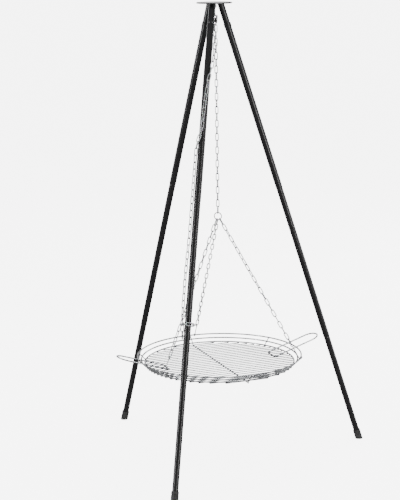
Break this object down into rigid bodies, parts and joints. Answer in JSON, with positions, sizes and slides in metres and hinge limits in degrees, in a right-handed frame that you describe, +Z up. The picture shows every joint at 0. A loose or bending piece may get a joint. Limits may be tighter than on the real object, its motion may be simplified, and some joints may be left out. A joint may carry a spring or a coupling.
{
  "type": "campfire tripod grate",
  "caption": "Free-standing tripod of plug-together tube legs, with a chain over a roller block that holds a flared round grill on slings.",
  "frame": {"origin": "on the ground, in the middle of the overall bounding box's base", "axes": "+Z up along the tripod's height; -Y towards the leg that the chain runs down; +X towards the right-hand leg when that leg is in front"},
  "size_m": [0.892, 0.8042, 1.51],
  "materials": {
    "black_paint": "gloss black enamel",
    "black_rubber": "moulded, matte",
    "dark_steel": "blackened",
    "zinc": "bright zinc plate",
    "chrome_wire": "chrome-plated wire"
  },
  "bodies": {
    "frame": {"head_plate": "black_paint", "head_stub_front": "black_paint", "head_stub_right": "black_paint", "head_stub_left": "black_paint", "head_staple": "black_paint", "upper_tube_front": "black_paint", "upper_tube_right": "black_paint", "upper_tube_left": "black_paint", "middle_tube_front": "black_paint", "middle_tube_right": "black_paint", "middle_tube_left": "black_paint", "lower_tube_front": "black_paint", "lower_tube_right": "black_paint", "lower_tube_left": "black_paint", "foot_cap_front": "black_rubber", "foot_cap_right": "black_rubber", "foot_cap_left": "black_rubber", "block_eye": "chrome_wire", "block_shank": "dark_steel", "block_yoke": "dark_steel", "block_axle": "zinc", "over_link": "zinc", "leg_chain": "zinc", "leg_hook": "zinc", "leg_wrap_chain": "zinc", "chain_tail": "zinc"},
    "roller": {"block_roller": "dark_steel"},
    "first_link": {"first_link": "zinc"},
    "chain_upper": {"main_chain_upper": "zinc"},
    "chain_lower": {"main_chain_lower": "zinc"},
    "grate": {"hang_ring": "zinc", "sling_chain_right": "zinc", "sling_chain_back": "zinc", "sling_chain_front": "zinc", "sling_hook_right": "zinc", "sling_hook_back": "zinc", "sling_hook_front": "zinc", "rim_ring_top": "chrome_wire", "rim_ring_middle": "chrome_wire", "rim_ring_grate": "chrome_wire", "rim_posts": "chrome_wire", "grill_rods": "chrome_wire", "support_bar": "chrome_wire", "handle_right": "chrome_wire", "handle_left": "chrome_wire"}
  },
  "joints": [
    {"name": "swing_fore", "type": "hinge", "parent": "frame", "child": "first_link", "pos_m": [0, 0.12462, 1.45507], "axis": [1, 0, 0], "range_deg": [-1.2, 1.2]},
    {"name": "swing_side", "type": "hinge", "parent": "first_link", "child": "chain_upper", "pos_m": [0, 0.12462, 1.43597], "axis": [0, 1, 0], "range_deg": [-1.2, 1.2]},
    {"name": "hoist", "type": "slide", "parent": "chain_upper", "child": "chain_lower", "axis": [0, 0, 1], "range_m": [0, 0.132], "deforming": ["main_chain_upper"]},
    {"name": "grate_turn", "type": "hinge", "parent": "chain_lower", "child": "grate", "pos_m": [0, 0.12462, 0.8], "axis": [0, 0, 1], "range_deg": [-160, 200], "deforming": ["main_chain_lower"]},
    {"name": "roller_spin", "type": "hinge", "parent": "frame", "child": "roller", "pos_m": [0, 0.111, 1.44949], "axis": [1, 0, 0], "continuous": true}
  ],
  "couplings": [
    {"joint": "roller_spin", "follows": "hoist", "rad_per_m": 166.67}
  ]
}
